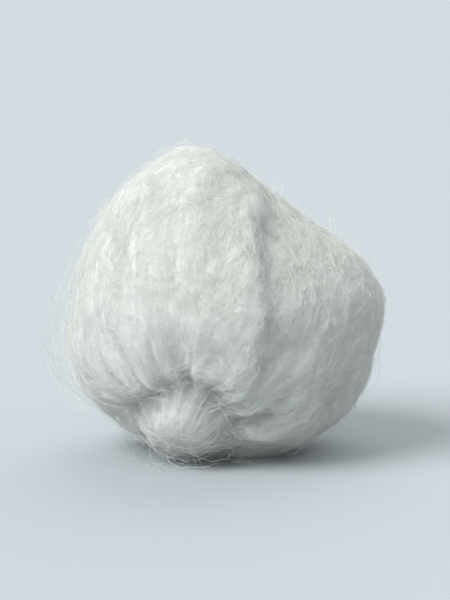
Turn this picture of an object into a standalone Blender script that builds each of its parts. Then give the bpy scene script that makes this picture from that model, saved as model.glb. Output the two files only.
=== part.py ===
"""A cotton wool ball, modelled as one soft closed solid.

A length of carded cotton is rolled up, and its torn end is gathered and tucked in at one pole of the roll. The crown
is smooth and leans a little, creases run out of the gathers, the edges of the outer turns show as low rounded laps,
and packing has left flattened sides and soft folds. The ball rests on a small flat that its own weight presses into it.

Units are metres and degrees. +Z is up, the front faces -Y, and the origin is the centre of the rest flat. A place on
the ball is an azimuth, from the front towards +X, and an elevation above the waist. A place on the roll is its share
of the way from the gathered end to the tucked end, and a longitude about them, which is 0 towards the crown.
"""

import math

import bmesh
import bpy
import numpy as np

# The plain ball, before its folds
BALL_WIDTH = 0.0374
BALL_DEPTH = 0.0362
BALL_HEIGHT = 0.0375
REST_FLAT_DIAMETER = 0.0140
CROWN_NARROWING_ACROSS = 0.30  # how much slimmer the ball gets from its waist to its crown, as a share
CROWN_NARROWING_DEEP = 0.17  # the same, from front to back
FOOT_FULLNESS = 0.05  # how much fuller it is below the waist
CROWN_LEAN = -0.0041  # how far the crown lies towards +X

# Flattened sides, where it was packed against others: a direction, and how far the side is pushed in
PRESSED_SIDES = (
    {"facing": (56, -12), "pushed_in": 0.0013},
    {"facing": (-84, 12), "pushed_in": 0.0008},
    {"facing": (142, 8), "pushed_in": 0.0013},
    {"facing": (-140, -18), "pushed_in": 0.0011},
)

# The torn end, gathered at one end of the roll: a soft oval nub, hooded by a groove that is deepest above it
GATHER_AZIMUTH = -25
GATHER_ELEVATION = -46
NUB_HEIGHT = 0.0012
NUB_RADIUS = 0.0048
GROOVE_DEPTH = 0.0023
GROOVE_RADIUS = 0.0064
GROOVE_WIDTH = 0.0017
GATHER_CREASES = {"count": 12, "depth": 0.0024, "inner": 0.0038, "reach": 0.0145, "twist": 30, "seed": 9}

# The other end of the roll, tucked in behind
TUCK_DEPTH = 0.0029
TUCK_RADIUS = 0.0036
TUCK_CREASES = {"count": 9, "depth": 0.0016, "inner": 0.0018, "reach": 0.0135, "twist": -46, "seed": 11}

# The edges of the outer turns, each of which stands proud towards the lower longitudes. An edge is at its longitude
# half way along the roll, shifts by its drift from one end of the roll to the other, and bows by its bow at each end.
TURN_EDGES = (
    {"longitude": 46, "drift": 26, "bow": 70, "start": 0.10, "end": 0.73, "lap": 0.0017},
    {"longitude": 116, "drift": -30, "bow": 12, "start": 0.26, "end": 0.90, "lap": 0.0010},
    {"longitude": -170, "drift": 30, "bow": -14, "start": 0.38, "end": 0.88, "lap": 0.0012},
    {"longitude": -84, "drift": 34, "bow": 16, "start": 0.16, "end": 0.78, "lap": 0.0012},
)
EDGE_ROUNDING = 0.0022
LAP_REACH = 0.0085

# Low ripples that run along the roll: how many go round, how high they are, how they wander, and their phase
RIPPLES = (
    {"count": 5, "height": 0.00020, "wander": 1.1, "phase": 0.3},
    {"count": 9, "height": 0.00012, "wander": -1.7, "phase": 2.2},
    {"count": 16, "height": 0.00007, "wander": 2.6, "phase": 4.1},
)

# Soft folds where the ball was squeezed, from one place to another, bowed to the left by an angle
FOLDS = (
    {"start": (-78, 40), "end": (-40, -6), "depth": 0.0007, "bow": 12},
    {"start": (10, 62), "end": (60, 16), "depth": 0.0004, "bow": -7},
    {"start": (36, -12), "end": (84, -30), "depth": 0.0007, "bow": -8},
    {"start": (-158, 46), "end": (-104, -6), "depth": 0.0011, "bow": 8},
    {"start": (166, 16), "end": (96, -10), "depth": 0.0008, "bow": 10},
    {"start": (-160, -8), "end": (-96, -40), "depth": 0.0010, "bow": -9},
)
FOLD_WIDTH = 0.0016

# Broad swellings and dents
SWELLINGS = (
    {"at": (-80, 17), "height": 0.0011, "radius": 0.0080},
    {"at": (-28, 20), "height": 0.0007, "radius": 0.0085},
    {"at": (6, 52), "height": 0.0006, "radius": 0.0060},
    {"at": (78, 18), "height": 0.0008, "radius": 0.0065},
    {"at": (-66, -16), "height": 0.0009, "radius": 0.0065},
    {"at": (32, -34), "height": 0.0006, "radius": 0.0060},
    {"at": (118, -24), "height": 0.0008, "radius": 0.0070},
    {"at": (-150, 22), "height": 0.0008, "radius": 0.0080},
    {"at": (-104, 62), "height": -0.0008, "radius": 0.0060},
    {"at": (168, -28), "height": -0.0006, "radius": 0.0070},
)

# The mesh has its poles at the two ends of the roll, so that its lines follow the cotton
MERIDIANS = 96
RINGS = 54

COTTON_COLOUR = (0.80, 0.82, 0.79, 1.0)
COTTON_ROUGHNESS = 0.95


def towards(azimuth, elevation):
    """The unit vector to a place on the ball."""
    around, up = math.radians(azimuth), math.radians(elevation)
    return np.array((math.sin(around) * math.cos(up), -math.cos(around) * math.cos(up), math.sin(up)))


def unit(vector):
    return vector / np.linalg.norm(vector)


def smooth(share):
    """0 to 1 with level ends, as share goes from 0 to 1."""
    share = np.clip(share, 0, 1)
    return share * share * (3 - 2 * share)


def between_ends(along, run_out):
    """1 along the middle of a stretch, easing to 0 where it starts and ends."""
    return smooth(along / run_out) * smooth((1 - along) / run_out)


def swell(distance, radius):
    """1 in the middle, falling away like a bell."""
    return np.exp(-((distance / radius) ** 2))


def valley(distance, width):
    """1 at the bottom of a valley that has a narrow bed and wide soft sides."""
    return 1 / (1 + (distance / width) ** 2)


def distance_to(directions, place):
    """The distance from a place, over the surface."""
    return np.arccos(np.clip(directions @ place, -1, 1)) * BALL_WIDTH / 2


def ball_half_axes():
    """The half axes of the plain ball, whose height counts from the rest flat to the crown."""
    foot_share = REST_FLAT_DIAMETER / BALL_WIDTH
    return np.array((BALL_WIDTH / 2, BALL_DEPTH / 2, BALL_HEIGHT / (1 + math.sqrt(1 - foot_share**2))))


def plain_ball(directions):
    """An egg about its own centre, with its narrow end up and leaning."""
    points = directions * ball_half_axes()
    crownward = smooth(1.2 * directions[:, 2])
    footward = smooth(-2 * directions[:, 2])
    points[:, 0] *= 1 - CROWN_NARROWING_ACROSS * crownward + FOOT_FULLNESS * footward
    points[:, 1] *= 1 - CROWN_NARROWING_DEEP * crownward + FOOT_FULLNESS * footward
    points[:, 0] += CROWN_LEAN * crownward
    return points


def press_sides(points, facing, pushed_in):
    """Push in what stands out furthest one way, so that it becomes a soft flat."""
    normal = towards(*facing)
    reach = points @ normal
    above = reach - (reach.max() - 2 * pushed_in)
    return points - normal * (0.3 * (above + np.hypot(above, pushed_in)))[:, None]


def about_end(directions, end):
    """The distance from an end of the roll over the surface, and the longitude about it."""
    upward = unit(np.array((0, 0, 1)) - end * end[2])
    longitude = np.arctan2(directions @ np.cross(upward, end), directions @ upward)
    return distance_to(directions, end), longitude


def aside_of(longitude, middle, distance):
    """How far a point lies beside a longitude, along its ring of the roll."""
    ring_radius = np.sin(2 * distance / BALL_WIDTH) * BALL_WIDTH / 2
    return 2 * np.sin((longitude - middle) / 2) * ring_radius


def end_creases(distance, longitude, count, depth, inner, reach, twist, seed):
    """Creases that run out from round an end with a swirl, uneven in spacing, depth and reach."""
    chance = np.random.default_rng(seed)
    swirled = longitude + math.radians(twist) * distance / reach
    relief = np.zeros(len(distance))
    for number in range(count):
        middle = 2 * math.pi * (number + chance.uniform(-0.36, 0.36)) / count
        own_depth = depth * chance.uniform(0.35, 1.15)
        own_reach = reach * chance.uniform(0.65, 1.25)
        along = smooth(distance / inner - 1) * smooth(1.6 - 1.6 * distance / own_reach)
        relief -= own_depth * along * valley(aside_of(swirled, middle, distance), 0.0003 + 0.06 * distance)
    return relief


def gathered_end(distance, longitude):
    """The nub of the torn end, the groove round it and the creases that run out of it."""
    hooded = 0.6 + 0.4 * np.cos(longitude)
    oval = distance * (1 + 0.16 * np.cos(2 * longitude + 0.9) + 0.09 * np.cos(3 * longitude + 2.0))
    groove = GROOVE_DEPTH * hooded * swell(oval - GROOVE_RADIUS, GROOVE_WIDTH)
    return NUB_HEIGHT * swell(oval, NUB_RADIUS) - groove + end_creases(distance, longitude, **GATHER_CREASES)


def tucked_end(distance, longitude):
    """The dimple where the inner end of the roll is tucked in, with its swirl of creases."""
    return end_creases(distance, longitude, **TUCK_CREASES) - TUCK_DEPTH * swell(distance, TUCK_RADIUS)


def roll_share(distance):
    """The share of the way from the gathered end to the tucked end."""
    return 2 * distance / (math.pi * BALL_WIDTH)


def turn_edge(distance, around, longitude, drift, bow, start, end, lap):
    """A lap that rises over a rounded edge and thins out across its turn."""
    share = roll_share(distance)
    edge = np.radians(longitude + drift * (share - 0.5) + bow * (2 * share - 1) ** 2)
    inside = -aside_of(around, edge, distance)
    rise = np.sqrt(smooth(inside / EDGE_ROUNDING))
    along = between_ends((share - start) / (end - start), 0.3)
    return lap * rise * swell(np.maximum(inside, 0), LAP_REACH) * along


def ripple(distance, around, count, height, wander, phase):
    """A low wave round the roll, which wanders along it and dies out at its ends."""
    share = roll_share(distance)
    wandering = wander * (np.sin(2 * around + 5 * share) + 3 * share)
    return height * np.sin(count * around + phase + wandering) * np.sin(math.pi * share)


def fold(directions, start, end, depth, bow):
    """A soft valley along a bowed arc, which runs out at both ends."""
    first, last = towards(*start), towards(*end)
    left = unit(np.cross(first, last))
    ahead = np.cross(left, first)
    along = np.arctan2(directions @ ahead, directions @ first) / math.atan2(last @ ahead, last @ first)
    bowed = math.radians(bow) * np.sin(math.pi * np.clip(along, 0, 1))
    aside = (np.arcsin(np.clip(directions @ left, -1, 1)) - bowed) * BALL_WIDTH / 2
    return -depth * valley(aside, FOLD_WIDTH) * between_ends(along, 0.45)


def swelling(directions, at, height, radius):
    """A broad rise, or a dent where the height is negative."""
    return height * swell(distance_to(directions, towards(*at)), radius)


def relief_of(directions):
    """How far the surface stands out from the plain ball in each direction."""
    gather = towards(GATHER_AZIMUTH, GATHER_ELEVATION)
    from_gather, around = about_end(directions, gather)
    relief = gathered_end(from_gather, around) + tucked_end(*about_end(directions, -gather))
    relief += sum(turn_edge(from_gather, around, **edge) for edge in TURN_EDGES)
    relief += sum(ripple(from_gather, around, **wave) for wave in RIPPLES)
    relief += sum(fold(directions, **crease) for crease in FOLDS)
    relief += sum(swelling(directions, **bulge) for bulge in SWELLINGS)
    return relief


def ball_surface(directions):
    """The surface point in each direction, with the ball's centre at its height above the rest flat."""
    points = plain_ball(directions)
    for side in PRESSED_SIDES:
        points = press_sides(points, **side)
    points += directions * relief_of(directions)[:, None]
    points[:, 2] += BALL_HEIGHT - ball_half_axes()[2]
    return points


def new_collection(name):
    collection = bpy.data.collections.new(name)
    bpy.context.scene.collection.children.link(collection)
    return collection


def new_object(name, form, collection):
    """An object with the mesh that a bmesh holds."""
    mesh = bpy.data.meshes.new(name)
    form.to_mesh(mesh)
    form.free()
    made = bpy.data.objects.new(name, mesh)
    collection.objects.link(made)
    return made


def cotton():
    """Bleached carded cotton: white, dull and without shine."""
    material = bpy.data.materials.new("cotton")
    material.use_nodes = True
    shader = material.node_tree.nodes["Principled BSDF"]
    shader.inputs["Base Color"].default_value = COTTON_COLOUR
    shader.inputs["Roughness"].default_value = COTTON_ROUGHNESS
    shader.inputs["Metallic"].default_value = 0
    return material


def cotton_ball(collection):
    """A sphere whose poles lie at the ends of the roll, pressed into the ball's form."""
    form = bmesh.new()
    bmesh.ops.create_uvsphere(form, u_segments=MERIDIANS, v_segments=RINGS, radius=1)
    gather = towards(GATHER_AZIMUTH, GATHER_ELEVATION)
    side = unit(np.cross(gather, (0, 0, 1)))
    turned = np.column_stack((np.cross(side, gather), side, gather))
    directions = np.array([vertex.co for vertex in form.verts]) @ turned.T
    for vertex, point in zip(form.verts, ball_surface(directions)):
        vertex.co = point
    bmesh.ops.recalc_face_normals(form, faces=form.faces)
    ball = new_object("cotton_ball", form, collection)
    ball.data.shade_smooth()
    ball.data.materials.append(cotton())
    return ball


def table_cutter(collection):
    """The block under the ball that presses the rest flat into it."""
    form = bmesh.new()
    bmesh.ops.create_cube(form, size=1)
    block = new_object("table_cutter", form, collection)
    block.scale = (2 * BALL_WIDTH, 2 * BALL_DEPTH, BALL_HEIGHT)
    block.location = (0, 0, -BALL_HEIGHT / 2)
    block.hide_render = True
    block.display_type = "WIRE"
    return block


def main():
    for leftover in list(bpy.data.objects):
        bpy.data.objects.remove(leftover)
    ball = cotton_ball(new_collection("cotton_ball"))
    press = ball.modifiers.new("rest_flat", "BOOLEAN")
    press.operation = "DIFFERENCE"
    press.object = table_cutter(new_collection("cutters"))


main()
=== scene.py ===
"""The looks of a cotton wool ball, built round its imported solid.

The ball is one roll of carded cotton. wound_cotton stands for the solid, with the roll's soft ridges and
the pleats at its ends worked into it. A web of fibres lies over it from the gathered end to the tucked
end, short fuzz stands off the web, and longer strands come loose round the torn end. Lengths are in
metres, and the front faces -Y.
"""

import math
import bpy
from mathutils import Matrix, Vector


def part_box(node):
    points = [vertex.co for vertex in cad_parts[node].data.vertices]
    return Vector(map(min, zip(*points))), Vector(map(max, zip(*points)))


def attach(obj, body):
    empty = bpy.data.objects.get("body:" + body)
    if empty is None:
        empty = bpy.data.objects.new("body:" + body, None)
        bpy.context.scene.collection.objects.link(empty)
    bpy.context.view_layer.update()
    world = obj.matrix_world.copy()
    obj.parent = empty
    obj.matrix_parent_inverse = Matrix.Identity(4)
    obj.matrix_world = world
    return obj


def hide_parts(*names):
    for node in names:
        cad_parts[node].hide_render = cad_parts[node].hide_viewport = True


bl_info = {
    "name": "Cotton Ball",
    "version": (1, 0, 0),
    "blender": (4, 5, 0),
    "location": "3D View > Sidebar > Cotton Ball",
    "description": "Wound cotton, its web of fibres, fuzz and loose strands, round a cotton ball's solid",
    "category": "Object",
}

import bmesh
import bpy
import numpy as np
from bpy.props import FloatProperty, FloatVectorProperty, IntProperty, PointerProperty
from mathutils import Vector

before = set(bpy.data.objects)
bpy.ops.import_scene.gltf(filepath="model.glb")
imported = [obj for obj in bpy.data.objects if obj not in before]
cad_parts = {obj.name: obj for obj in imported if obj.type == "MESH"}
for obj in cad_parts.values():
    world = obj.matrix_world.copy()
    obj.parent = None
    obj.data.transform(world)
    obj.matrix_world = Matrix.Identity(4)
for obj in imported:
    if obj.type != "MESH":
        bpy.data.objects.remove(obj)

SOLID = "cotton_ball"
BODY = "root"

MILLIMETRE = 0.001
LOWEST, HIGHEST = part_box(SOLID)
BALL_CENTRE = np.array((0, 0, (LOWEST.z + HIGHEST.z) / 2))
BALL_RADIUS = (HIGHEST.x - LOWEST.x) / 2

# Places on the ball, each an azimuth and an elevation in degrees. The tucked end faces the gathered one.
GATHERED_END = (-25, -46)
LOOSE_SIDE = (-80, -16)

# Where strands come loose: how far round each place, and the share of them that grows anywhere else
TORN_RADIUS = 8 * MILLIMETRE
LOOSE_RADIUS = 6 * MILLIMETRE
STRAY_SHARE = 0.04

# How the ridges and bundles lie on the roll: they wander sideways, and are 5 times as long as they are wide
SIDEWAYS_WANDER = 1.2 * MILLIMETRE
SIDEWAYS_WIDTH = 9 * MILLIMETRE
LENGTHWISE_SCALE = 0.2

# The width of the finest lumps, as a share of a bundle's
FINE_LUMP_SHARE = 1.6

# How far the run of the fibres turns off the roll, in radians, and over what distance
RUN_WANDER = 0.5
RUN_WIDTH = 11 * MILLIMETRE

# Where pleats are deepest and how widely they fade, as shares of their reach, and how narrow their beds are
PLEAT_MIDDLE = 0.8
PLEAT_FADE = 0.45
PLEAT_NARROWNESS = 3

# The height over which the relief fades out towards the rest flat, which stays flat
FLAT_FADE = 1.5 * MILLIMETRE

# How single fibres differ. Each pair is the lowest and the highest, as shares or in radians.
REACH_SHARES = (0.45, 1.35)
WINDINGS = (2.0, 7.0)
WINDING_STARTS = (0.0, 6.3)
ARCHES = (1.3, 3.2)
LIFT_SHARES = (-0.25, 1.0)
THICKNESS_SHARES = (0.6, 1.4)

# A higher power leaves fewer fibres that stand up far
RARITY_OF_RISE = 2.2

# A fibre's radius at its tips and what it gains in the middle, as shares of its thickness
TIP_RADIUS = 0.15
MIDDLE_GAIN = 0.35

# The points along one fibre of each kind, and the seeds. The web's layers are seeded with their numbers.
WEB_POINTS = 5
FUZZ_POINTS = 7
STRAND_POINTS = 13
FUZZ_SEED = 11
STRAND_SEED = 21

# The stage: where each lamp stands, as an azimuth and an elevation, and how wide it looks, in degrees
KEY_LIGHT_PLACE = (-56, 43)
KEY_LIGHT_WIDTH = 36
BACK_LIGHT_PLACE = (165, 40)
BACK_LIGHT_WIDTH = 60
SKY_COLOUR = "#FBFDFF"

# The floor's radius in metres, and the size of the picture in pixels
FLOOR_RADIUS = 20
PICTURE_WIDTH = 450
PICTURE_HEIGHT = 600


def linear(hex_colour):
    """An sRGB hex colour as the linear values that Blender keeps."""
    channels = [int(hex_colour[start : start + 2], 16) / 255 for start in (1, 3, 5)]
    return [c / 12.92 if c <= 0.04045 else ((c + 0.055) / 1.055) ** 2.4 for c in channels]


def length(name, description, millimetres):
    metres = millimetres * MILLIMETRE
    return FloatProperty(
        name=name, description=description, default=metres, min=0, precision=5, unit="LENGTH"
    )


def colour(name, description, hex_colour):
    return FloatVectorProperty(
        name=name, description=description, default=linear(hex_colour), min=0, max=1, subtype="COLOR"
    )


def angle(name, description, degrees):
    radians = math.radians(degrees)
    return FloatProperty(name=name, description=description, default=radians, subtype="ANGLE")


class CottonColours(bpy.types.PropertyGroup):
    cotton: colour("Cotton", "Bleached cotton in the thick of the roll", "#EBEDE9")
    hollow: colour("Hollow", "The same cotton where it is packed closer and holds a little shade", "#E1E5DF")
    fibre: colour("Fibre", "A single bleached fibre", "#F2F4F0")
    floor: colour("Floor", "The pale floor", "#B9C0C4")


class WoundCottonSizes(bpy.types.PropertyGroup):
    grain: length("Grain", "Size of the faces of the worked surface", 0.265)
    lump_width: length("Lump width", "Distance from one soft lump to the next", 7.0)
    lump_height: length("Lump height", "How far the soft lumps stand out", 0.13)
    ridge_width: length("Ridge width", "Distance from one ridge of the roll to the next", 2.2)
    ridge_height: length("Ridge height", "How far the ridges stand out", 0.08)
    strand_width: length("Strand width", "Distance from one bundle of fibres to the next", 1.0)
    strand_height: length("Strand height", "How far the bundles stand out", 0.03)
    pleat_width: length("Pleat width", "Distance between the pleats, on a ball's radius", 8.0)
    pleat_depth: length("Pleat depth", "How deep the pleats are pressed", 0.85)
    pleat_reach: length("Pleat reach", "How far the pleats run out from an end of the roll", 10.0)


class WebSizes(bpy.types.PropertyGroup):
    number: IntProperty(name="Number", description="Fibres in each layer", default=7400, min=1)
    layers: IntProperty(name="Layers", description="Layers of fibres, one piece each", default=3, min=1)
    reach: length("Reach", "Length of a fibre", 7.0)
    thickness: length("Thickness", "About twice a real fibre's, which wouldn't show", 0.034)
    lift: length("Lift", "How far a fibre may lie off the cotton", 0.12)
    rise: length("Rise", "How far its free ends may stand up", 0.45)
    spread: angle("Spread", "How far fibres turn from the run of the roll", 56)
    curl: FloatProperty(name="Curl", description="How far it winds, as a share of its length", default=0.14)


class FuzzSizes(bpy.types.PropertyGroup):
    number: IntProperty(name="Number", description="Fibres that stand off the web", default=4900, min=1)
    reach: length("Reach", "Length of a fibre", 3.2)
    thickness: length("Thickness", "About twice a real fibre's, as in the web", 0.035)
    rise: length("Rise", "How far it stands off the cotton", 1.5)
    spread: angle("Spread", "How far fibres turn from the run of the roll", 180)
    curl: FloatProperty(name="Curl", description="How far it winds, as a share of its length", default=0.25)


class StrandSizes(bpy.types.PropertyGroup):
    number: IntProperty(name="Number", description="Long loose strands", default=380, min=1)
    reach: length("Reach", "Length of a strand", 10.0)
    thickness: length("Thickness", "A strand's thickness", 0.038)
    rise: length("Rise", "How far it stands off the cotton", 3.8)
    spread: angle("Spread", "How far strands turn from the run of the roll", 70)
    curl: FloatProperty(name="Curl", description="How far it winds, as a share of its length", default=0.22)


class StageSizes(bpy.types.PropertyGroup):
    view_width: length("View width", "Width of the picture at the ball", 56)
    lens: length("Lens", "Focal length of the camera", 150)
    elevation: angle("Elevation", "How far above the level the camera stands", 9)
    key_light: FloatProperty(name="Key light", description="Soft light from the upper left", default=2.7)
    back_light: FloatProperty(name="Back light", description="Weaker soft light from behind", default=1.0)
    sky_light: FloatProperty(name="Sky light", description="The even light from all round", default=0.55)


class CottonBallSettings(bpy.types.PropertyGroup):
    colours: PointerProperty(type=CottonColours)
    wound: PointerProperty(type=WoundCottonSizes)
    web: PointerProperty(type=WebSizes)
    fuzz: PointerProperty(type=FuzzSizes)
    strands: PointerProperty(type=StrandSizes)
    stage: PointerProperty(type=StageSizes)


def towards(azimuth, elevation):
    """The unit vector at an azimuth, from the front towards +X, and an elevation, in degrees."""
    around, up = math.radians(azimuth), math.radians(elevation)
    return np.array((math.sin(around) * math.cos(up), -math.cos(around) * math.cos(up), math.sin(up)))


def units(vectors):
    return vectors / np.linalg.norm(vectors, axis=-1, keepdims=True)


def dot(first, second):
    return np.sum(first * second, axis=-1, keepdims=True)


def waves(points, wavelength, seed, number=48):
    """Smooth uneven heights, mostly from -1 to 1, as a sum of plane waves of about one wavelength."""
    chance = np.random.default_rng(seed)
    headings = units(chance.normal(size=(number, points.shape[1]))).T
    turns_per_metre = 2 * math.pi / (wavelength * chance.uniform(0.7, 1.5, number))
    phases = points @ (headings * turns_per_metre) + chance.uniform(0, 2 * math.pi, number)
    return np.sin(phases).sum(1) / math.sqrt(number)


def closeness(points, place, radius):
    """1 at a place on the ball, falling to 0 over the radius."""
    angles = np.arccos(np.clip(units(points - BALL_CENTRE) @ towards(*place), -1, 1))
    return np.exp(-((angles * BALL_RADIUS / radius) ** 2))


def roll_coordinates(points):
    """The share of the way along the roll, and the ring about it as a vector one ball's radius long."""
    outward = units(points - BALL_CENTRE)
    gather = towards(*GATHERED_END)
    upward = units(np.array((0, 0, 1)) - gather * gather[2])
    across = np.cross(upward, gather)
    share = np.arccos(np.clip(outward @ gather, -1, 1)) / math.pi
    longitude = np.arctan2(outward @ across, outward @ upward)
    ring = np.stack((np.cos(longitude), np.sin(longitude)), 1) * BALL_RADIUS
    return share, ring


def run_of_roll(points, normals):
    """The way the cotton runs at each point, from the gathered end to the tucked end, wandering a little."""
    outward = units(points - BALL_CENTRE)
    gather = towards(*GATHERED_END)
    away = outward * (outward @ gather)[:, None] - gather
    along = units(away - normals * dot(away, normals))
    wander = RUN_WANDER * waves(points, RUN_WIDTH, seed=31)[:, None]
    return along * np.cos(wander) + np.cross(normals, along) * np.sin(wander)


def read_vectors(mesh, name):
    """The vertices' positions or normals as an array."""
    values = np.empty(len(mesh.vertices) * 3, np.float32)
    mesh.vertices.foreach_get(name, values)
    return values.reshape(-1, 3).astype(float)


def write_attribute(mesh, name, kind, values):
    layer = mesh.attributes.new(name, kind, "POINT")
    layer.data.foreach_set("vector" if kind == "FLOAT_VECTOR" else "value", np.ravel(values))


def new_piece(name, mesh):
    piece = bpy.data.objects.new(name, mesh)
    bpy.context.scene.collection.objects.link(piece)
    return piece


def settle_mesh(piece):
    """Keep what the piece's modifiers made as its plain mesh."""
    evaluated = piece.evaluated_get(bpy.context.evaluated_depsgraph_get())
    mesh = bpy.data.meshes.new_from_object(evaluated)
    piece.modifiers.clear()
    piece.data = mesh
    mesh.name = piece.name


def add_node(tree, kind, inputs=None, **settings):
    """Add a node with its settings, and feed its inputs from values or from other nodes' outputs."""
    node = tree.nodes.new(kind)
    for name, value in settings.items():
        setattr(node, name, value)
    for key, value in (inputs or {}).items():
        if isinstance(value, bpy.types.NodeSocket):
            tree.links.new(value, node.inputs[key])
        else:
            node.inputs[key].default_value = value
    return node


def new_material(name):
    """A material with only its output and a Principled shader."""
    material = bpy.data.materials.new(name)
    material.use_nodes = True
    return material, material.node_tree, material.node_tree.nodes["Principled BSDF"]


def carded_cotton(colours):
    """Carded, bleached cotton. Light sinks in and spreads, so it looks soft and has no gloss."""
    material, tree, shader = new_material("carded_cotton")

    # Clumps about 4 mm across, a little paler or darker than each other
    place = add_node(tree, "ShaderNodeTexCoord").outputs["Object"]
    clump_scale = 1 / (4 * MILLIMETRE)
    clump = add_node(tree, "ShaderNodeTexNoise", {"Vector": place, "Scale": clump_scale, "Detail": 3})
    tone = add_node(
        tree,
        "ShaderNodeMix",
        {0: clump.outputs["Fac"], 6: (*colours.hollow, 1), 7: (*colours.cotton, 1)},
        data_type="RGBA",
    )

    # Bundles of fibres about 0.45 mm wide that run with the roll, drawn coarser than real ones so they show
    roll = add_node(tree, "ShaderNodeAttribute", attribute_name="roll")
    streak_scale = 1 / (0.45 * MILLIMETRE)
    streaks = add_node(
        tree,
        "ShaderNodeTexNoise",
        {"Vector": roll.outputs["Vector"], "Scale": streak_scale, "Detail": 4, "Roughness": 0.6},
    )
    bump = add_node(tree, "ShaderNodeBump", {"Height": streaks.outputs["Fac"], "Strength": 0.2})
    bump.inputs["Distance"].default_value = 0.10 * MILLIMETRE

    tree.links.new(tone.outputs[2], shader.inputs["Base Color"])
    tree.links.new(bump.outputs["Normal"], shader.inputs["Normal"])
    shader.inputs["Roughness"].default_value = 0.95
    shader.inputs["Specular IOR Level"].default_value = 0.2
    shader.inputs["Subsurface Weight"].default_value = 1
    shader.inputs["Subsurface Radius"].default_value = (1, 1, 1)
    shader.inputs["Subsurface Scale"].default_value = 1.6 * MILLIMETRE
    shader.inputs["Sheen Weight"].default_value = 0.2
    shader.inputs["Sheen Roughness"].default_value = 0.6
    return material


def cotton_fibre(colours):
    """Single bleached fibres: white and fine, with hardly any shine."""
    material, _, shader = new_material("cotton_fibre")
    shader.inputs["Base Color"].default_value = (*colours.fibre, 1)
    shader.inputs["Roughness"].default_value = 0.85
    shader.inputs["Specular IOR Level"].default_value = 0.2
    return material


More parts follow.
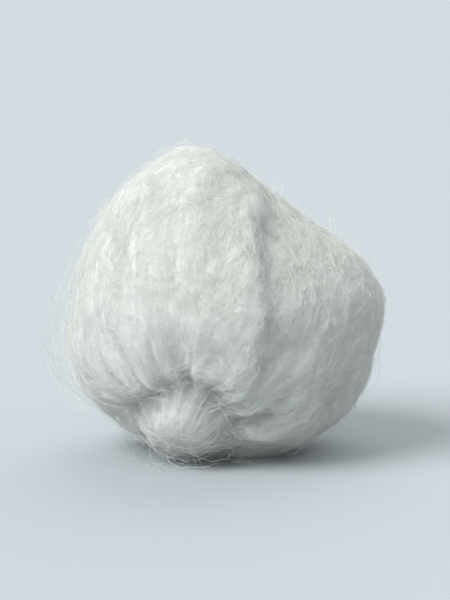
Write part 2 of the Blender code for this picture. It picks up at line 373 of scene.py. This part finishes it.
def fibre_tree():
    """Geometry Nodes that scatter curved fibres over a surface and lay them along it."""
    tree = bpy.data.node_groups.new("fibres", "GeometryNodeTree")
    sockets = (
        ("Surface", "NodeSocketGeometry"),
        ("Density", "NodeSocketFloat"),
        ("Steps", "NodeSocketInt"),
        ("Reach", "NodeSocketFloat"),
        ("Thickness", "NodeSocketFloat"),
        ("Lift", "NodeSocketFloat"),
        ("Rise", "NodeSocketFloat"),
        ("Spread", "NodeSocketFloat"),
        ("Curl", "NodeSocketFloat"),
        ("Seed", "NodeSocketInt"),
        ("Where", "NodeSocketString"),
        ("Material", "NodeSocketMaterial"),
    )
    for name, kind in sockets:
        tree.interface.new_socket(name, in_out="INPUT", socket_type=kind)
    tree.interface.new_socket("Fibres", in_out="OUTPUT", socket_type="NodeSocketGeometry")
    given = add_node(tree, "NodeGroupInput").outputs

    def maths(operation, *values):
        node = add_node(tree, "ShaderNodeMath", dict(enumerate(values)), operation=operation)
        return node.outputs[0]

    def vectors(operation, *values):
        node = add_node(tree, "ShaderNodeVectorMath", dict(enumerate(values)), operation=operation)
        return node.outputs["Vector"]

    def scaled(vector, scale):
        node = add_node(tree, "ShaderNodeVectorMath", {"Vector": vector, "Scale": scale}, operation="SCALE")
        return node.outputs["Vector"]

    def named(name, kind):
        node = add_node(tree, "GeometryNodeInputNamedAttribute", {"Name": name}, data_type=kind)
        return node.outputs["Attribute"]

    def stored(geometry, name, value, kind):
        node = add_node(
            tree,
            "GeometryNodeStoreNamedAttribute",
            {"Geometry": geometry, "Name": name, "Value": value},
            data_type=kind,
            domain="POINT",
        )
        return node.outputs["Geometry"]

    # One root for each fibre, copied once for each point along it
    density = maths("MULTIPLY", given["Density"], named(given["Where"], "FLOAT"))
    roots = add_node(
        tree,
        "GeometryNodeDistributePointsOnFaces",
        {"Mesh": given["Surface"], "Density": density, "Seed": given["Seed"]},
    )
    points = stored(roots.outputs["Points"], "root_normal", roots.outputs["Normal"], "FLOAT_VECTOR")
    points = stored(points, "fibre", add_node(tree, "GeometryNodeInputIndex").outputs[0], "INT")
    copies = add_node(
        tree, "GeometryNodeDuplicateElements", {"Geometry": points, "Amount": given["Steps"]}, domain="POINT"
    )
    points = stored(copies.outputs["Geometry"], "step", copies.outputs["Duplicate Index"], "INT")
    fibre, step = named("fibre", "INT"), named("step", "INT")
    normal, run = named("root_normal", "FLOAT_VECTOR"), named("run", "FLOAT_VECTOR")
    share = maths("DIVIDE", step, maths("SUBTRACT", given["Steps"], 1.0))

    def chance(lowest, highest, seed):
        node = add_node(
            tree,
            "FunctionNodeRandomValue",
            {"Min": lowest, "Max": highest, "ID": fibre, "Seed": seed},
            data_type="FLOAT",
        )
        return node.outputs["Value"]

    # Each fibre runs straight ahead, turned off the run of the roll, and winds from side to side
    turned = add_node(
        tree,
        "ShaderNodeVectorRotate",
        {"Vector": run, "Axis": normal, "Angle": maths("MULTIPLY", given["Spread"], chance(-1.0, 1.0, 1))},
        rotation_type="AXIS_ANGLE",
    ).outputs["Vector"]
    aside = vectors("CROSS_PRODUCT", normal, turned)
    own_reach = maths("MULTIPLY", given["Reach"], chance(*REACH_SHARES, 2))
    winding = maths("MULTIPLY_ADD", share, chance(*WINDINGS, 3), chance(*WINDING_STARTS, 4))
    sideways = maths("MULTIPLY", maths("MULTIPLY", own_reach, given["Curl"]), maths("SINE", winding))
    forward = maths("MULTIPLY", own_reach, maths("SUBTRACT", share, 0.5))
    place = add_node(tree, "GeometryNodeInputPosition").outputs[0]
    laid = vectors("ADD", place, vectors("ADD", scaled(turned, forward), scaled(aside, sideways)))

    # It is then laid on the surface, and arches up off it
    nearest = add_node(
        tree, "GeometryNodeProximity", {0: given["Surface"], "Sample Position": laid}, target_element="FACES"
    )
    normal_there = add_node(
        tree,
        "GeometryNodeSampleNearestSurface",
        {"Mesh": given["Surface"], "Value": add_node(tree, "GeometryNodeInputNormal").outputs[0]},
        data_type="FLOAT_VECTOR",
    )
    tree.links.new(laid, normal_there.inputs["Sample Position"])
    arch = maths("SINE", maths("MULTIPLY", share, chance(*ARCHES, 5)))
    standing = maths("MULTIPLY", maths("POWER", chance(0.0, 1.0, 6), RARITY_OF_RISE), arch)
    raised = maths("MULTIPLY", given["Rise"], standing)
    height = maths("MULTIPLY_ADD", given["Lift"], chance(*LIFT_SHARES, 7), raised)
    lifted = vectors("ADD", nearest.outputs["Position"], scaled(normal_there.outputs["Value"], height))

    # None goes under the floor
    split = add_node(tree, "ShaderNodeSeparateXYZ", {"Vector": lifted})
    clear = add_node(
        tree,
        "ShaderNodeCombineXYZ",
        {0: split.outputs[0], 1: split.outputs[1], 2: maths("MAXIMUM", split.outputs[2], given["Thickness"])},
    )
    moved = add_node(tree, "GeometryNodeSetPosition", {"Geometry": points, "Position": clear.outputs[0]})
    curves = add_node(
        tree, "GeometryNodePointsToCurves", {0: moved.outputs[0], "Curve Group ID": fibre, "Weight": step}
    )

    # The points become thin tapered tubes
    swelling = maths("SINE", maths("MULTIPLY", share, math.pi))
    taper = maths("MULTIPLY_ADD", swelling, MIDDLE_GAIN, TIP_RADIUS)
    own_thickness = maths("MULTIPLY", given["Thickness"], chance(*THICKNESS_SHARES, 8))
    section = add_node(tree, "GeometryNodeCurvePrimitiveCircle", {"Resolution": 3, "Radius": 1.0})
    tubes = add_node(
        tree,
        "GeometryNodeCurveToMesh",
        {
            "Curve": curves.outputs[0],
            "Profile Curve": section.outputs["Curve"],
            "Scale": maths("MULTIPLY", own_thickness, taper),
            "Fill Caps": True,
        },
    )
    smooth = add_node(tree, "GeometryNodeSetShadeSmooth", {"Geometry": tubes.outputs[0]})
    real = add_node(tree, "GeometryNodeRealizeInstances", {"Geometry": smooth.outputs[0]})
    finished = add_node(
        tree, "GeometryNodeSetMaterial", {"Geometry": real.outputs[0], "Material": given["Material"]}
    )
    add_node(tree, "NodeGroupOutput", {0: finished.outputs[0]})
    return tree


def density_for(number, where):
    """Fibres for each square metre, so that about this many grow where the mask lets them."""
    mesh = bpy.data.objects["wound_cotton"].data
    areas = np.empty(len(mesh.polygons))
    mesh.polygons.foreach_get("area", areas)
    mask = np.empty(len(mesh.vertices))
    mesh.attributes[where].data.foreach_get("value", mask)
    return number / (areas.sum() * mask.mean())


def grow_fibres(name, sizes, lift, where, points, seed):
    """A piece made of fibres that grow over the wound cotton, where the mask lets them."""
    colours = bpy.context.scene.cotton_ball.colours
    inputs = {
        "Density": density_for(sizes.number, where),
        "Steps": points,
        "Reach": sizes.reach,
        "Thickness": sizes.thickness,
        "Lift": lift,
        "Rise": sizes.rise,
        "Spread": sizes.spread,
        "Curl": sizes.curl,
        "Seed": seed,
        "Where": where,
        "Material": bpy.data.materials.get("cotton_fibre") or cotton_fibre(colours),
    }
    tree = bpy.data.node_groups.get("fibres") or fibre_tree()
    piece = new_piece(name, bpy.data.objects["wound_cotton"].data)
    growth = piece.modifiers.new("fibres", "NODES")
    growth.node_group = tree
    for socket in tree.interface.items_tree:
        if socket.name in inputs:
            growth[socket.identifier] = inputs[socket.name]
    settle_mesh(piece)
    for used in ("run", "roll", "everywhere", "torn", "root_normal", "fibre", "step"):
        if used in piece.data.attributes:
            piece.data.attributes.remove(piece.data.attributes[used])
    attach(piece, BODY)


class CottonStep:
    """What each of the steps shares."""

    bl_options = {"REGISTER", "UNDO"}

    @property
    def settings(self):
        return bpy.context.scene.cotton_ball


class COTTON_OT_wind_cotton(CottonStep, bpy.types.Operator):
    """Work the roll's lumps, ridges, bundles of fibres and pleats into a fine copy of the solid"""

    bl_idname = "cotton_ball.wind_cotton"
    bl_label = "Wind Cotton"

    def execute(self, context):
        sizes = self.settings.wound
        form = bmesh.new()
        form.from_mesh(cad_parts[SOLID].data)
        bmesh.ops.remove_doubles(form, verts=form.verts, dist=MILLIMETRE / 1000)
        mesh = bpy.data.meshes.new("wound_cotton")
        form.to_mesh(mesh)
        form.free()
        piece = new_piece("wound_cotton", mesh)
        fine = piece.modifiers.new("fine_faces", "REMESH")
        fine.mode = "VOXEL"
        fine.voxel_size = sizes.grain
        soft = piece.modifiers.new("soft", "SMOOTH")
        soft.factor = 0.5
        soft.iterations = 5
        settle_mesh(piece)
        self.work_surface(piece.data, sizes)
        piece.data.materials.clear()
        piece.data.materials.append(carded_cotton(self.settings.colours))
        piece.data.shade_smooth()
        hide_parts(SOLID)
        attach(piece, BODY)
        return {"FINISHED"}

    def work_surface(self, mesh, sizes):
        """Raise the lumps, ridges and bundles, press the pleats in, and store what the fibres need."""
        points, normals = read_vectors(mesh, "co"), read_vectors(mesh, "normal")
        share, ring = roll_coordinates(points)
        along = share * math.pi * BALL_RADIUS
        wander = SIDEWAYS_WANDER * waves(points, SIDEWAYS_WIDTH, seed=5)
        roll = np.column_stack((ring + wander[:, None], along * LENGTHWISE_SCALE))
        height = sizes.lump_height * waves(points, sizes.lump_width, seed=1)
        height += sizes.ridge_height * waves(roll, sizes.ridge_width, seed=2)
        height += sizes.strand_height * waves(roll, sizes.strand_width, seed=3)
        height += sizes.strand_height * waves(points, FINE_LUMP_SHARE * sizes.strand_width, seed=4)
        height -= sizes.pleat_depth * self.pleats(share, ring, sizes)
        above_flat = np.clip(points[:, 2] / FLAT_FADE, 0, 1)
        points += normals * (height * above_flat)[:, None]
        points[:, 2] = np.maximum(points[:, 2], 0)
        mesh.vertices.foreach_set("co", points.ravel())
        mesh.update()
        write_attribute(mesh, "run", "FLOAT_VECTOR", run_of_roll(points, read_vectors(mesh, "normal")))
        write_attribute(mesh, "roll", "FLOAT_VECTOR", roll)
        write_attribute(mesh, "everywhere", "FLOAT", np.ones(len(points)))
        torn = closeness(points, GATHERED_END, TORN_RADIUS)
        loose = closeness(points, LOOSE_SIDE, LOOSE_RADIUS)
        write_attribute(mesh, "torn", "FLOAT", STRAY_SHARE + torn + loose)

    def pleats(self, share, ring, sizes):
        """1 in the bed of a pleat near either end of the roll, falling to 0 beside it and further out."""
        from_end = np.minimum(share, 1 - share) * math.pi * BALL_RADIUS
        off_middle = (from_end - PLEAT_MIDDLE * sizes.pleat_reach) / (PLEAT_FADE * sizes.pleat_reach)
        beds = np.exp(-PLEAT_NARROWNESS * np.abs(waves(ring, sizes.pleat_width, seed=6)))
        return np.exp(-(off_middle**2)) * beds


class COTTON_OT_lay_web(CottonStep, bpy.types.Operator):
    """Lay layers of fibres over the cotton, mostly along the run of the roll"""

    bl_idname = "cotton_ball.lay_web"
    bl_label = "Lay Web"

    def execute(self, context):
        sizes = self.settings.web
        for layer in range(1, sizes.layers + 1):
            grow_fibres(f"web_fibres_{layer}", sizes, sizes.lift, "everywhere", WEB_POINTS, layer)
        return {"FINISHED"}


class COTTON_OT_raise_fuzz(CottonStep, bpy.types.Operator):
    """Raise short curly fibres off the web"""

    bl_idname = "cotton_ball.raise_fuzz"
    bl_label = "Raise Fuzz"

    def execute(self, context):
        sizes = self.settings.fuzz
        grow_fibres("fuzz", sizes, sizes.thickness, "everywhere", FUZZ_POINTS, FUZZ_SEED)
        return {"FINISHED"}


class COTTON_OT_loosen_strands(CottonStep, bpy.types.Operator):
    """Let longer strands come loose, most of them round the torn end"""

    bl_idname = "cotton_ball.loosen_strands"
    bl_label = "Loosen Strands"

    def execute(self, context):
        sizes = self.settings.strands
        grow_fibres("loose_strands", sizes, sizes.thickness, "torn", STRAND_POINTS, STRAND_SEED)
        return {"FINISHED"}


def add_sun(name, strength, width, place):
    """A lamp as soft as a large window, which looks as wide as an angle in degrees."""
    lamp = bpy.data.lights.new(name, "SUN")
    lamp.energy = strength
    lamp.angle = math.radians(width)
    sun = bpy.data.objects.new(name, lamp)
    sun.rotation_euler = Vector(towards(*place)).to_track_quat("Z", "Y").to_euler()
    bpy.context.scene.collection.objects.link(sun)


class COTTON_OT_set_stage(CottonStep, bpy.types.Operator):
    """Set the floor, the soft lights and the camera"""

    bl_idname = "cotton_ball.set_stage"
    bl_label = "Set Stage"

    def execute(self, context):
        sizes, colours = self.settings.stage, self.settings.colours
        scene = context.scene
        scene.view_settings.view_transform = "Standard"
        bpy.ops.mesh.primitive_circle_add(vertices=64, radius=FLOOR_RADIUS, fill_type="NGON")
        floor = context.object
        floor.name = "floor"
        paint, _, shader = new_material("matt_paint")
        shader.inputs["Base Color"].default_value = (*colours.floor, 1)
        shader.inputs["Roughness"].default_value = 0.9
        shader.inputs["Specular IOR Level"].default_value = 0.1
        floor.data.materials.append(paint)
        add_sun("key_light", sizes.key_light, KEY_LIGHT_WIDTH, KEY_LIGHT_PLACE)
        add_sun("back_light", sizes.back_light, BACK_LIGHT_WIDTH, BACK_LIGHT_PLACE)
        world = bpy.data.worlds.new("sky")
        world.use_nodes = True
        sky = world.node_tree.nodes["Background"]
        sky.inputs["Color"].default_value = (*linear(SKY_COLOUR), 1)
        sky.inputs["Strength"].default_value = sizes.sky_light
        scene.world = world
        self.set_camera(scene, sizes)
        return {"FINISHED"}

    def set_camera(self, scene, sizes):
        """Look at the middle of the ball from the front."""
        lens = bpy.data.cameras.new("camera")
        lens.lens = sizes.lens / MILLIMETRE
        lens.clip_start = 0.01
        lens.clip_end = 100
        picture_width = lens.sensor_width * PICTURE_WIDTH / PICTURE_HEIGHT
        distance = lens.lens * sizes.view_width / picture_width
        camera = bpy.data.objects.new("camera", lens)
        back = Vector(towards(0, math.degrees(sizes.elevation)))
        camera.location = Vector(BALL_CENTRE) + back * distance
        camera.rotation_euler = back.to_track_quat("Z", "Y").to_euler()
        scene.collection.objects.link(camera)
        scene.camera = camera


STEPS = (
    COTTON_OT_wind_cotton,
    COTTON_OT_lay_web,
    COTTON_OT_raise_fuzz,
    COTTON_OT_loosen_strands,
    COTTON_OT_set_stage,
)


class COTTON_PT_sidebar(bpy.types.Panel):
    """The steps that dress the ball, with their sizes"""

    bl_label = "Cotton Ball"
    bl_idname = "COTTON_PT_sidebar"
    bl_space_type = "VIEW_3D"
    bl_region_type = "UI"
    bl_category = "Cotton Ball"

    def draw(self, context):
        settings = context.scene.cotton_ball
        groups = (settings.wound, settings.web, settings.fuzz, settings.strands, settings.stage)
        for step, sizes in zip(STEPS, groups):
            box = self.layout.box()
            for size in sizes.__annotations__:
                box.prop(sizes, size)
            box.operator(step.bl_idname)
        box = self.layout.box()
        for shade in settings.colours.__annotations__:
            box.prop(settings.colours, shade)


CLASSES = (
    CottonColours,
    WoundCottonSizes,
    WebSizes,
    FuzzSizes,
    StrandSizes,
    StageSizes,
    CottonBallSettings,
    *STEPS,
    COTTON_PT_sidebar,
)


def register():
    for kind in CLASSES:
        bpy.utils.register_class(kind)
    bpy.types.Scene.cotton_ball = PointerProperty(type=CottonBallSettings)


def unregister():
    del bpy.types.Scene.cotton_ball
    for kind in reversed(CLASSES):
        bpy.utils.unregister_class(kind)


def main():
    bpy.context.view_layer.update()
    register()
    bpy.ops.cotton_ball.wind_cotton()
    bpy.ops.cotton_ball.lay_web()
    bpy.ops.cotton_ball.raise_fuzz()
    bpy.ops.cotton_ball.loosen_strands()
    bpy.ops.cotton_ball.set_stage()


if __name__ == "__main__":
    main()
